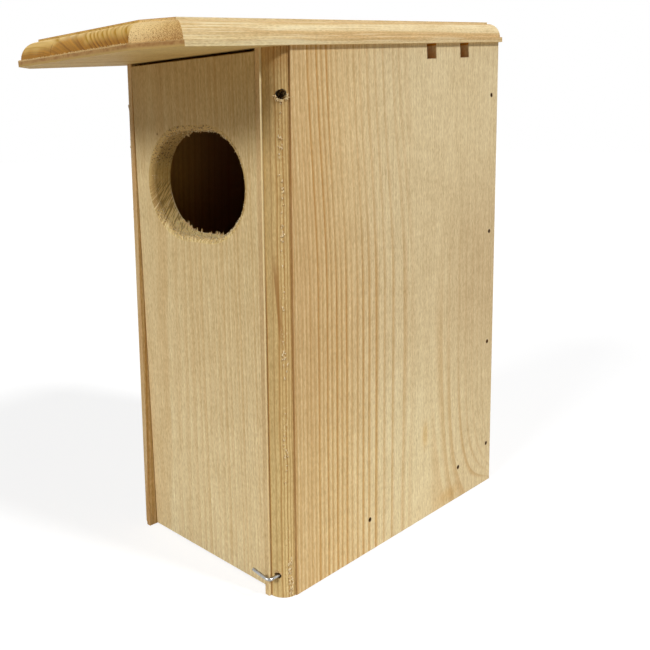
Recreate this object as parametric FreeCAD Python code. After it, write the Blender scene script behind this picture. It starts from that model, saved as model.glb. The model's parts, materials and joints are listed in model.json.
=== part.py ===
import FreeCAD, Part
import math
import os

# Duck nest box. Sizes in millimetres. +Z up, the door faces -Y, the latch is on the +X side.
# The origin is at the middle of the outline, on the ground under the side boards.

V = FreeCAD.Vector

# overall sizes
TOTAL_HEIGHT = 419.1
TOTAL_DEPTH = 374.65
INNER_WIDTH = 139.7
BOARD = 18.0
SIDE_DEPTH = 277.6
ROOF_FALL = 18.15
ROOF_OVERHANG = 3.15

# routed edge: a lip at the bottom, a quarter round above it and a small square quirk at the top
LIP = 4.0
LIP_STEP = 2.0
QUIRK = 1.6
CLIP_X = 25.5
CLIP_Y = 22.0

# sanded corners of the outer edges
SIDE_EASE = 0.8
DOOR_EASE = 0.5

# door and its entrance; the pivot and the hole are measured down from the roof and the door's top
DOOR_GAP = 0.5
DOOR_BOTTOM = 0.6
DOOR_TOP_GAP = 1.8
DOOR_TILT_AT_FOOT = 7.0
PIVOT_DROP = 30.2
HOLE_LENGTH = 103.5
HOLE_HEIGHT = 77.4
HOLE_X = 2.1
HOLE_DROP = 89.5
HOLE_ROUND = 4.3
KERF_COUNT = 8
KERF_PITCH = 20.0
KERF_BELOW_HOLE = 32.6
KERF_SIZE = 3.0

# floor
FLOOR_UNDER = 19.0
FLOOR_CLIP = 14.0
STOP_GAP = 0.15

# vent notches in the side boards' top edges, measured from the back face
VENT_WIDTH = 12.7
VENT_DEPTH = 11.8
VENT_POSITIONS = (102.7, 55.4)

# finish nails, set below the surface
NAIL_D = 1.8
NAIL_HEAD_D = 2.7
NAIL_HEAD_L = 1.6
NAIL_LENGTH = 44.0
NAIL_TIP = 3.0
NAIL_POINT_D = 0.4
NAIL_SET = 1.2
NAIL_FIT = 0.02
NAIL_END_GAP = 0.2
# nails into the back board: distance from the back face, and height or drop from the board's top
BACK_NAIL_IN = {"top": 10.7, "middle": 9.9, "bottom": 7.8}
BACK_NAIL_TOP_DROP = 45.4
BACK_NAIL_MIDDLE_Z = 236.4
BACK_NAIL_BOTTOM_Z = 37.6
# nails into the floor: distance from the side's front or back edge, and height above the floor's underside
FLOOR_NAIL_FRONT = 97.3
FLOOR_NAIL_FRONT_UP = 7.6
FLOOR_NAIL_REAR = 54.8
FLOOR_NAIL_REAR_UP = 10.2
BACK_FLOOR_NAIL_X = 40.0
# nails through the roof: distance from the side's front or back edge, and in from its inner face
ROOF_NAIL_FRONT = 25.0
ROOF_NAIL_MIDDLE = 130.0
ROOF_NAIL_REAR = 25.6
ROOF_NAIL_IN = 4.5
ROOF_BACK_NAIL_X = 35.0

# pivot screws
SCREW_D = 4.2
SCREW_HEAD_D = 6.0
SCREW_HEAD_L = 3.5
SCREW_LENGTH = 40.0
SCREW_TIP = 5.0
SCREW_POINT_D = 0.6
SCREW_DRIVE = 2.6
SCREW_DRIVE_DEPTH = 2.0
PIVOT_CLEARANCE = 0.05
COUNTERBORE_D = 6.5
COUNTERBORE_FLOOR = 4.2
HEAD_CLEARANCE = 0.3

# latch hook, set in from the side board's inner face
HOOK_WIRE = 2.5
HOOK_IN = 9.45
HOOK_Z = 16.6
HOOK_REACH = 5.6
HOOK_ARM = 16.6
HOOK_RISE = 8.0
HOOK_BEND = 3.2
HOOK_DEPTH = 24.0
HOOK_TIP = 5.0
HOOK_POINT_D = 0.6
HOOK_END_GAP = 0.3
HOOK_CLEARANCE = 0.04
HOOK_MOUTH_D = 4.4
HOOK_MOUTH_DEPTH = 6.5

# wall screw holes in the back
MOUNT_HOLE_D = 7.0
MOUNT_HOLE_Z = (100.0, 350.0)

# how far a cutting tool reaches past the surface it opens
PAST = 10.0

# derived places
BACK_Y = TOTAL_DEPTH / 2
FRONT_Y = BACK_Y - SIDE_DEPTH
HALF_IN = INNER_WIDTH / 2
HALF_OUT = HALF_IN + BOARD
ROOF_WIDTH = 2 * (HALF_OUT + ROOF_OVERHANG)
ROUND_R = BOARD - LIP - QUIRK
PITCH = math.atan2(ROOF_FALL, SIDE_DEPTH)
BACK_HEIGHT = TOTAL_HEIGHT - BOARD * math.cos(PITCH)
FRONT_HEIGHT = BACK_HEIGHT - ROOF_FALL
ROOF_LENGTH = (TOTAL_DEPTH - LIP * math.sin(PITCH)) / math.cos(PITCH)
PIVOT = V(0, FRONT_Y + BOARD / 2, FRONT_HEIGHT - PIVOT_DROP)
TILT = math.degrees(math.atan2(DOOR_TILT_AT_FOOT, PIVOT.z))
DOOR_TOP = FRONT_HEIGHT - DOOR_TOP_GAP
HOLE_Z = DOOR_TOP - HOLE_DROP
HOOK_X = HALF_IN + HOOK_IN
DOWN_ROOF = V(0, math.sin(PITCH), -math.cos(PITCH))


def roof_height(y):
    """Height of the roof's underside at y."""
    return BACK_HEIGHT - (BACK_Y - y) * math.tan(PITCH)


def prism(points, base, height):
    """Upright prism over a list of (x, y) points."""
    ring = [V(x, y, base) for x, y in points]
    return Part.Face(Part.makePolygon(ring + ring[:1])).extrude(V(0, 0, height))


def block(x0, x1, y0, y1, z0, z1):
    return Part.makeBox(x1 - x0, y1 - y0, z1 - z0, V(x0, y0, z0))


def rod(diameter, start, direction, length):
    return Part.makeCylinder(diameter / 2, length, start, direction)


def under_roof(shape):
    """Trim a board to the roof's underside."""
    x, y0, y1 = HALF_OUT + PAST, FRONT_Y - PAST, BACK_Y + PAST
    top = TOTAL_HEIGHT + PAST
    ring = [V(-x, y0, roof_height(y0)), V(-x, y1, roof_height(y1)), V(-x, y1, top), V(-x, y0, top)]
    above = Part.Face(Part.makePolygon(ring + ring[:1])).extrude(V(2 * x, 0, 0))
    return shape.cut(above)


def placed(shape, start, direction):
    """Move a shape built along +Z from the origin so that it runs from start along direction."""
    moved = shape.copy()
    moved.Placement = FreeCAD.Placement(start, FreeCAD.Rotation(V(0, 0, 1), direction))
    return moved


def nail(start, direction):
    """Finish nail whose head is set below the surface point start."""
    head = Part.makeCylinder(NAIL_HEAD_D / 2, NAIL_HEAD_L)
    shank = Part.makeCylinder(NAIL_D / 2, NAIL_LENGTH - NAIL_TIP)
    tip = Part.makeCone(NAIL_D / 2, NAIL_POINT_D / 2, NAIL_TIP, V(0, 0, NAIL_LENGTH - NAIL_TIP))
    whole = head.fuse(shank).fuse(tip).removeSplitter()
    return placed(whole, start + direction * NAIL_SET, direction)


def nail_hole(start, direction):
    head = Part.makeCylinder(NAIL_HEAD_D / 2 + NAIL_FIT, NAIL_SET + NAIL_HEAD_L + PAST, V(0, 0, -PAST))
    shank = Part.makeCylinder(NAIL_D / 2 + NAIL_FIT, NAIL_SET + NAIL_LENGTH + NAIL_END_GAP)
    return placed(head.fuse(shank), start, direction)


def side_board():
    """Right side board with the routed front edge and eased outer edges, trimmed to the roof."""
    cx, cy = HALF_OUT - QUIRK - ROUND_R, FRONT_Y + LIP_STEP + ROUND_R
    turn = math.sqrt(0.5) * ROUND_R
    ease = SIDE_EASE
    p = [V(HALF_IN, FRONT_Y, 0), V(cx, FRONT_Y, 0), V(cx, FRONT_Y + LIP_STEP, 0)]
    q = [V(HALF_OUT - QUIRK, cy, 0), V(HALF_OUT, cy, 0), V(HALF_OUT, BACK_Y - ease, 0)]
    q += [V(HALF_OUT - ease, BACK_Y, 0), V(HALF_IN, BACK_Y, 0)]
    arc = Part.Arc(p[2], V(cx + turn, cy - turn, 0), q[0]).toShape()
    lines = [Part.makeLine(a, b) for a, b in zip(p, p[1:])]
    lines += [arc] + [Part.makeLine(a, b) for a, b in zip(q, q[1:])] + [Part.makeLine(q[-1], p[0])]
    board = under_roof(Part.Face(Part.Wire(lines)).extrude(V(0, 0, TOTAL_HEIGHT)))
    far = HALF_OUT + PAST
    bottom = [V(HALF_OUT - ease, FRONT_Y, 0), V(far, FRONT_Y, 0), V(far, FRONT_Y, ease + PAST)]
    board = board.cut(Part.Face(Part.makePolygon(bottom + bottom[:1])).extrude(V(0, SIDE_DEPTH + PAST, 0)))
    for from_back in VENT_POSITIONS:
        y = BACK_Y - from_back
        corner = V(HALF_IN - PAST, -VENT_WIDTH / 2, -VENT_DEPTH)
        notch = Part.makeBox(BOARD + 2 * PAST, VENT_WIDTH, VENT_DEPTH + PAST, corner)
        notch.rotate(V(0, 0, 0), V(1, 0, 0), math.degrees(PITCH))
        notch.translate(V(0, y, roof_height(y)))
        board = board.cut(notch)
    bore = rod(COUNTERBORE_D, V(HALF_IN + COUNTERBORE_FLOOR, PIVOT.y, PIVOT.z), V(1, 0, 0), BOARD)
    pin = rod(SCREW_D + 2 * PIVOT_CLEARANCE, V(HALF_IN - PAST, PIVOT.y, PIVOT.z), V(1, 0, 0), BOARD)
    return board.cut(bore.fuse(pin))


def roof_board():
    """Roof built flat with its back bottom edge on the X axis, then pitched and lifted."""
    def outline(inset):
        half, front = ROOF_WIDTH / 2 - inset, -ROOF_LENGTH + inset
        run = math.hypot(CLIP_X, CLIP_Y)
        dx = CLIP_X + inset * (run - CLIP_X) / CLIP_Y - inset
        dy = CLIP_Y + inset * (run - CLIP_Y) / CLIP_X - inset
        right = [(half, 0), (half, front + dy), (half - dx, front)]
        return right + [(-x, y) for x, y in reversed(right)]

    rounded = prism(outline(LIP_STEP), 0, LIP + ROUND_R)
    rim = []
    for edge in rounded.Edges:
        a, b = (v.Point for v in edge.Vertexes)
        if min(a.z, b.z) > LIP and min(a.y, b.y) < -LIP:
            rim.append(edge)
    rounded = rounded.makeFillet(ROUND_R, rim)
    board = prism(outline(0), 0, LIP).fuse(rounded)
    board = board.fuse(prism(outline(LIP_STEP + ROUND_R), 0, BOARD)).removeSplitter()
    board.rotate(V(0, 0, 0), V(1, 0, 0), math.degrees(PITCH))
    board.translate(V(0, BACK_Y, BACK_HEIGHT))
    return board


def door_board():
    """Door built upright and flush with the sides' front edges, then hung at its tilt."""
    half = HALF_IN - DOOR_GAP
    back = FRONT_Y + BOARD
    door = block(-half, half, FRONT_Y, back, DOOR_BOTTOM, DOOR_TOP)
    front = [edge for edge in door.Edges if edge.BoundBox.YMax < FRONT_Y + DOOR_EASE]
    door = door.makeChamfer(DOOR_EASE, front)
    r = HOLE_HEIGHT / 2
    reach = HOLE_LENGTH / 2 - r
    hole = block(HOLE_X - reach, HOLE_X + reach, FRONT_Y - PAST, back + PAST, HOLE_Z - r, HOLE_Z + r)
    for side in (-1, 1):
        end = V(HOLE_X + side * reach, FRONT_Y - PAST, HOLE_Z)
        hole = hole.fuse(rod(HOLE_HEIGHT, end, V(0, 1, 0), BOARD + 2 * PAST))
    door = door.cut(hole.removeSplitter())
    rim = []
    for edge in door.Edges:
        box = edge.BoundBox
        inside = max(box.XMax, -box.XMin) < half - 2 * DOOR_EASE
        if inside and box.YMax < FRONT_Y + DOOR_EASE / 2:
            rim.append(edge)
    door = door.makeFillet(HOLE_ROUND, rim)
    top_kerf = HOLE_Z - r - KERF_BELOW_HOLE
    for i in range(KERF_COUNT):
        z = top_kerf - i * KERF_PITCH
        kerf = block(-half - PAST, half + PAST, back - KERF_SIZE, back + PAST, z - KERF_SIZE, z)
        door = door.cut(kerf)
    for side in (-1, 1):
        start = V(side * HALF_IN, PIVOT.y, PIVOT.z)
        depth = SCREW_LENGTH - COUNTERBORE_FLOOR
        door = door.cut(rod(SCREW_D + 2 * NAIL_FIT, start, V(-side, 0, 0), depth))
    return hang(door)


def hang(shape):
    moved = shape.copy()
    moved.rotate(PIVOT, V(1, 0, 0), TILT)
    return moved


def pivot_screw(side):
    """Screw whose plain shank is the door's pivot; the head sits in the counterbore."""
    head = Part.makeCylinder(SCREW_HEAD_D / 2, SCREW_HEAD_L)
    half = SCREW_DRIVE / 2
    head = head.cut(block(-half, half, -half, half, 0, SCREW_DRIVE_DEPTH))
    straight = SCREW_LENGTH - SCREW_TIP
    shank = Part.makeCylinder(SCREW_D / 2, straight - SCREW_HEAD_L, V(0, 0, SCREW_HEAD_L))
    tip = Part.makeCone(SCREW_D / 2, SCREW_POINT_D / 2, SCREW_TIP, V(0, 0, straight))
    screw = head.fuse(shank).fuse(tip).removeSplitter()
    start = V(side * (HALF_IN + COUNTERBORE_FLOOR + HEAD_CLEARANCE + SCREW_HEAD_L), PIVOT.y, PIVOT.z)
    return hang(placed(screw, start, V(-side, 0, 0)))


def latch_hook():
    """Wire hook: a shank along Y into the side board, a bend, and an arm across the door."""
    r = HOOK_WIRE / 2
    root = V(HOOK_X, FRONT_Y + HOOK_DEPTH, HOOK_Z)
    corner = V(HOOK_X, FRONT_Y - HOOK_REACH, HOOK_Z)
    rise = math.radians(HOOK_RISE)
    across = V(-math.cos(rise), 0, math.sin(rise))
    outward = V(0, -1, 0)
    a = corner - outward * HOOK_BEND
    b = corner + across * HOOK_BEND
    centre = a + across * HOOK_BEND
    middle = centre + (corner - centre).normalize() * HOOK_BEND
    shank_start = root + outward * HOOK_TIP
    tip_end = corner + across * (HOOK_ARM - r)
    bend = Part.Arc(a, middle, b).toShape()
    path = Part.Wire([Part.makeLine(shank_start, a), bend, Part.makeLine(b, tip_end)])
    section = Part.Wire(Part.makeCircle(r, shank_start, outward))
    wire = path.makePipeShell([section], True, False)
    cone = Part.makeCone(HOOK_POINT_D / 2, r, HOOK_TIP, root, outward)
    ball = Part.makeSphere(r, tip_end)
    return wire.fuse(cone).fuse(ball).removeSplitter()


def latch_hole():
    start = V(HOOK_X, FRONT_Y - PAST, HOOK_Z)
    inward = V(0, 1, 0)
    hole = rod(HOOK_WIRE + 2 * HOOK_CLEARANCE, start, inward, PAST + HOOK_DEPTH + HOOK_END_GAP)
    return hole.fuse(rod(HOOK_MOUTH_D, start, inward, PAST + HOOK_MOUTH_DEPTH))


# where the nails go
BACK_NAIL_Z = {"top": BACK_HEIGHT - BACK_NAIL_TOP_DROP, "middle": BACK_NAIL_MIDDLE_Z,
               "bottom": BACK_NAIL_BOTTOM_Z}
FLOOR_NAILS = {"front": (FRONT_Y + FLOOR_NAIL_FRONT, FLOOR_NAIL_FRONT_UP),
               "rear": (BACK_Y - FLOOR_NAIL_REAR, FLOOR_NAIL_REAR_UP)}
ROOF_NAILS = {"front": FRONT_Y + ROOF_NAIL_FRONT, "middle": FRONT_Y + ROOF_NAIL_MIDDLE,
              "rear": BACK_Y - ROOF_NAIL_REAR}

# nails: name, surface point, direction, and the boards they go through
jobs = []
for hand, side in (("right", 1), ("left", -1)):
    inward = V(-side, 0, 0)
    board = hand + "_side"
    for place, z in BACK_NAIL_Z.items():
        point = V(side * HALF_OUT, BACK_Y - BACK_NAIL_IN[place], z)
        jobs.append((hand + "_back_nail_" + place, point, inward, (board, "back_panel")))
    for place, (y, up) in FLOOR_NAILS.items():
        point = V(side * HALF_OUT, y, FLOOR_UNDER + up)
        jobs.append((hand + "_floor_nail_" + place, point, inward, (board, "floor_panel")))
    for place, y in ROOF_NAILS.items():
        under = V(side * (HALF_IN + ROOF_NAIL_IN), y, roof_height(y))
        point = under - DOWN_ROOF * BOARD
        jobs.append(("roof_nail_" + hand + "_" + place, point, DOWN_ROOF, ("roof", board)))
    point = V(side * BACK_FLOOR_NAIL_X, BACK_Y, FLOOR_UNDER + BOARD / 2)
    jobs.append(("back_floor_nail_" + hand, point, V(0, -1, 0), ("back_panel", "floor_panel")))
    y = BACK_Y - BOARD / 2
    point = V(side * ROOF_BACK_NAIL_X, y, roof_height(y)) - DOWN_ROOF * BOARD
    jobs.append(("roof_nail_back_" + hand, point, DOWN_ROOF, ("roof", "back_panel")))

right = side_board()
left = right.mirror(V(0, 0, 0), V(1, 0, 0))
stop_y = PIVOT.y + BOARD / 2 + (PIVOT.z - FLOOR_UNDER) * math.tan(math.radians(TILT)) + STOP_GAP
floor_back = BACK_Y - BOARD
c = FLOOR_CLIP
floor_outline = [(HALF_IN, stop_y + c), (HALF_IN, floor_back - c), (HALF_IN - c, floor_back),
                 (c - HALF_IN, floor_back), (-HALF_IN, floor_back - c), (-HALF_IN, stop_y + c),
                 (c - HALF_IN, stop_y), (HALF_IN - c, stop_y)]
back = under_roof(block(-HALF_IN, HALF_IN, floor_back, BACK_Y, 0, TOTAL_HEIGHT))
for z in MOUNT_HOLE_Z:
    back = back.cut(rod(MOUNT_HOLE_D, V(0, floor_back - PAST, z), V(0, 1, 0), BOARD + 2 * PAST))

parts = {
    "roof": roof_board(),
    "right_side": right.cut(latch_hole()),
    "left_side": left,
    "back_panel": back,
    "floor_panel": prism(floor_outline, FLOOR_UNDER, BOARD),
    "front_door": door_board(),
    "pivot_screw_right": pivot_screw(1),
    "pivot_screw_left": pivot_screw(-1),
    "latch_hook": latch_hook(),
}
for name, point, direction, boards in jobs:
    for board in boards:
        parts[board] = parts[board].cut(nail_hole(point, direction))
    parts[name] = nail(point, direction)

os.makedirs("parts", exist_ok=True)
for name, shape in parts.items():
    solids = shape.Solids
    if len(solids) == 1:
        shape = solids[0]
    shape.exportStep("parts/" + name + ".step")
    box = shape.BoundBox
    print(name, len(solids), shape.isValid(), round(shape.Volume, 1),
          [round(v, 2) for v in (box.XMin, box.XMax, box.YMin, box.YMax, box.ZMin, box.ZMax)])
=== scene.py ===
import bpy
import json
import math
import random
from mathutils import Matrix, Vector


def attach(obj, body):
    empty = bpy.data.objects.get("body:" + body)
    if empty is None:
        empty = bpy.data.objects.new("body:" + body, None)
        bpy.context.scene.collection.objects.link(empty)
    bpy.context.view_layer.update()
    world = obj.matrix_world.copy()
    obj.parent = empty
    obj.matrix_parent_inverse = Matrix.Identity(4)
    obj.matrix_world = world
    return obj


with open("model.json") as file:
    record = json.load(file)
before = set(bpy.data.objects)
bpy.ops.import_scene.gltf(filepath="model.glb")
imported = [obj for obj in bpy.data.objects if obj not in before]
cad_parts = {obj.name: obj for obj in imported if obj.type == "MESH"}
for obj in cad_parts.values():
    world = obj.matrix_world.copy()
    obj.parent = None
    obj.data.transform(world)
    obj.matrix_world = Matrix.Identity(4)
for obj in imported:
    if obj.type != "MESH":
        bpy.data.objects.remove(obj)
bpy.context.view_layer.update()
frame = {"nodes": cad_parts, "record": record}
nodes = frame["nodes"]

# Sizes of the part in millimetres, as in its source
MM = 0.001
HALF_IN = 69.85
HALF_OUT = 87.85
BOARD = 18.0
FRONT_Y = -90.275
BACK_Y = 187.325
BACK_HEIGHT = 401.138
PITCH = math.atan2(18.15, 277.6)
LIP = 4.0
LIP_STEP = 2.0
QUIRK = 1.6
QUIRK_X = HALF_OUT - QUIRK
ROUND_R = 12.4
# middle of the quarter round on the right side board
ROUND_X = QUIRK_X - ROUND_R
ROUND_Y = FRONT_Y + LIP_STEP + ROUND_R
PIVOT_Y = FRONT_Y + BOARD / 2
PIVOT_Z = 352.788
TILT = math.atan2(7.0, PIVOT_Z)
HOLE_X = 2.1
HOLE_Z = 291.688
HOLE_R = 38.7
HOLE_REACH = 13.05
HOLE_ROUND = 4.3
HOOK_X = 79.3
HOOK_Z = 16.6
ROOF_HALF = 91.0
ROOF_LENGTH = (374.65 - LIP * math.sin(PITCH)) / math.cos(PITCH)
CLIP_X = 25.5
CLIP_Y = 22.0
VENT_HALF = 6.35
VENT_DEPTH = 11.8
VENT_Y = (BACK_Y - 102.7, BACK_Y - 55.4)
NAIL_R = 1.37
NAIL_SIDES = 24
# each ring of a nail's head: its share of the radius, and its height above the board
NAIL_RINGS = ((0.35, 0.02), (0.62, 0.05), (0.84, 0.12), (0.95, 0.11), (1.0, 0.05), (1.0, -0.5), (0.62, -0.9),
              (0.62, -3.0))
LOW_NAIL = (0.0, BACK_Y - 9.6, 135.2)
BACK_NAILS = [
    (0.0, BACK_Y - 10.7, BACK_HEIGHT - 45.4),
    (0.0, BACK_Y - 9.9, 236.4),
    LOW_NAIL,
    (0.0, BACK_Y - 7.8, 37.6),
]
FLOOR_NAILS = [(0.0, FRONT_Y + 97.3, 26.6), (0.0, BACK_Y - 54.8, 29.2)]

# Torn fibres: how deep each root is sunk, and how many there are
SINK = 0.35
FUZZ_COUNT = 650
SPLINTER_COUNT = 44
PIVOT_CHIPS = 40
HOOK_CHIPS = 14
HOOK_CHIP_R = 2.3
LIP_FIBRES_PER_MM = 1.5
# runs of flecks on a side board's round: top, foot, number of flecks and place round the edge in degrees
FLECK_RUNS = [(326, 312, 10, 58), (297, 284, 8, 60), (268, 250, 12, 57), (181, 160, 10, 62),
              (120, 100, 5, 60), (30, 12, 26, 68), (16, 2, 34, 70), (350, 60, 22, 59)]

# Pine colours, linear
EARLY = (0.78, 0.585, 0.305)
LATE = (0.55, 0.285, 0.072)
END_EARLY = (0.52, 0.255, 0.028)
END_LATE = (0.27, 0.106, 0.001)
PLAIN_END = ((0.66, 0.45, 0.19), (0.36, 0.19, 0.05))
TORN = (0.90, 0.73, 0.45)
BURNT = (0.25, 0.125, 0.035)
# painted shade in the small holes and the pivot's counterbore
HOLE_SHADE = (0.080, 0.027, 0.001)
DEEP_HOLE_SHADE = (0.02, 0.009, 0.003)
# painted shade inside the nest chamber: a plain colour its grain is half evened out to, and the shade near
# the entrance and far from it
INSIDE = (0.70, 0.52, 0.27)
INSIDE_NEAR_SHADE = (0.85, 0.66, 0.34)
INSIDE_FAR_SHADE = (0.42, 0.255, 0.17)
# on the sides' routed edges
ROUND_LINE = (0.40, 0.19, 0.038)
ROUND_STAIN = (0.34, 0.155, 0.035)
ROUND_SPECK = (0.95, 0.80, 0.52)
ROUND_PIT = (0.34, 0.18, 0.055)
ROUND_FOOT = (0.30, 0.125, 0.020)
# painted highlight on the routed step
STEP_HIGHLIGHT = (0.92, 0.79, 0.46)
QUIRK_BROWN = (0.30, 0.13, 0.025)
# on the roof's edges
ROOF_PALE = (0.79, 0.55, 0.175)
ROOF_LINE = (0.43, 0.215, 0.001)
STREAK_DARK = (0.64, 0.44, 0.17)
STREAK_PALE = (0.95, 0.80, 0.50)
FUZZ_DOT = (0.36, 0.185, 0.05)
FUZZ_INNER = (0.79, 0.58, 0.27)
FUZZ_OUTER = (0.60, 0.385, 0.135)
SAWN = (0.48, 0.282, 0.100)
SAWN_DARK = (0.33, 0.160, 0.050)
SAWN_LOW = (0.51, 0.345, 0.118)
LIP_EDGE = (0.74, 0.54, 0.25)
BACK_PALE = (0.64, 0.43, 0.17)
BACK_LINE = (0.33, 0.17, 0.045)
CUTTER_LINE = (0.50, 0.24, 0.05)
# in the entrance
ENTRANCE_END = (0.74, 0.55, 0.29)
STROKE_DARK = (0.37, 0.215, 0.060)
STROKE_PALE = (0.94, 0.76, 0.43)
ARRIS_PALE = (0.96, 0.84, 0.60)
PIT_DARK = (0.16, 0.08, 0.025)

# Tints, which multiply the wood's own colour, some of them painted light or shade; on the sides
ROUND_TINT = (0.87, 0.85, 0.72)
ROUND_HIGH_TINT = (0.86, 0.82, 0.76)
# painted shade at the round's top, under the roof
ROUND_TOP_SHADE = (0.88, 0.78, 0.66)
SIDE_LIP_TINT = (0.86, 0.82, 0.79)
# painted light, palest low down
SIDE_LOW_LIGHT = (1.13, 1.19, 1.24)
SIDE_HIGH_TINT = (1.05, 1.06, 1.07)
SIDE_BEHIND_TINT = (1.02, 1.10, 1.24)
SIDE_BACK_TINT = (0.89, 0.85, 0.81)
MARK_TINT = (0.92, 0.82, 0.66)
# painted shade in the vent notches
VENT_SHADE = (0.78, 0.44, 0.035)
# on the door, its entrance's wall and rim
# painted shade at the door's head under the roof, then painted light toward its foot
DOOR_HEAD_SHADE = (0.78, 0.74, 0.64)
DOOR_FOOT_LIGHT = (1.20, 1.35, 1.58)
DOOR_UPPER_TINT = (0.965, 1.015, 1.03)
# painted light on the entrance's wall
WALL_LIGHT = (1.28, 1.24, 0.95)
RIM_TINT = (0.72, 0.64, 0.45)
WALL_HIGH_TINT = (0.90, 0.84, 0.66)
# painted light at the entrance's foot, on wall and rim
WALL_LOW_LIGHT = (1.48, 1.60, 1.42)
RIM_LOW_LIGHT = (1.12, 1.14, 1.00)
# on the roof
ROOF_LOW_TINT = (0.76, 0.69, 0.48)
# painted highlight toward the front of the long edges
LONG_EDGE_HIGHLIGHT = (1.08, 1.19, 1.30)
# painted bounce light on the roof's underside
UNDER_LEFT_LIGHT = (1.05, 1.06, 0.84)
UNDER_RIGHT_LIGHT = (1.10, 1.17, 1.05)

# Surfaces: roughness, and the depth of the bumps in metres
PINE_ROUGH = 0.62
PINE_BUMP = 0.00005
TORN_ROUGH = 0.7
TORN_BUMP = 0.0001
STEEL_BUMP = 0.00003

# Grain: how a ring's latewood rises to its dark edge, in millimetres, and where in the ring that edge is
LATE_RISE = 2.8
LATE_EDGE = 0.88
SIDE_RINGS = (-0.0176, 0.000892)
# each row: a place in millimetres, the width of the line and its strength
ROOF_BANDS = [(117.2, 1.2, 0.45), (123.6, 1.8, 0.8), (131.4, 3.4, 0.9), (137.0, 1.6, 0.95), (139.9, 1.4, 1.0),
              (142.3, 1.2, 1.0), (144.6, 1.2, 1.0), (147.9, 1.8, 1.0), (150.8, 1.4, 0.9), (153.2, 0.9, 0.45),
              (156.4, 2.4, 0.9), (160.9, 1.0, 0.5), (164.3, 2.6, 0.85)]
ROUND_LINES = [(5.8, 1.0, 0.60), (9.6, 1.6, 0.85), (11.6, 0.9, 0.70), (14.0, 1.0, 1.0), (16.2, 0.7, 0.80),
               (18.4, 0.8, 0.90)]
# a colour ramp holds 32 stops, three to each row
MOST_BANDS = 10
ROOF_PITH = 271.0 * math.cos(PITCH) + 185.0 * math.sin(PITCH)
CRACK_X = 24.0
# the stain on a side's round: its place round the edge at the ground and for each millimetre up, and its ends
STAIN_LINE = (23.8, -0.071)
STAIN_Z = (188.0, 241.0)
# the torn specks' place round the edge
SPECK_ARC = (11.0, 15.5)
NICK = (-39.8, 0.0, 328.6)
# each mark: its middle along the depth and up, and how far it reaches each way
BROWN_MARKS = ((80.8, 74.0, 7.5, 17.0), (118.0, 9.0, 26.0, 11.0))


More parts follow.
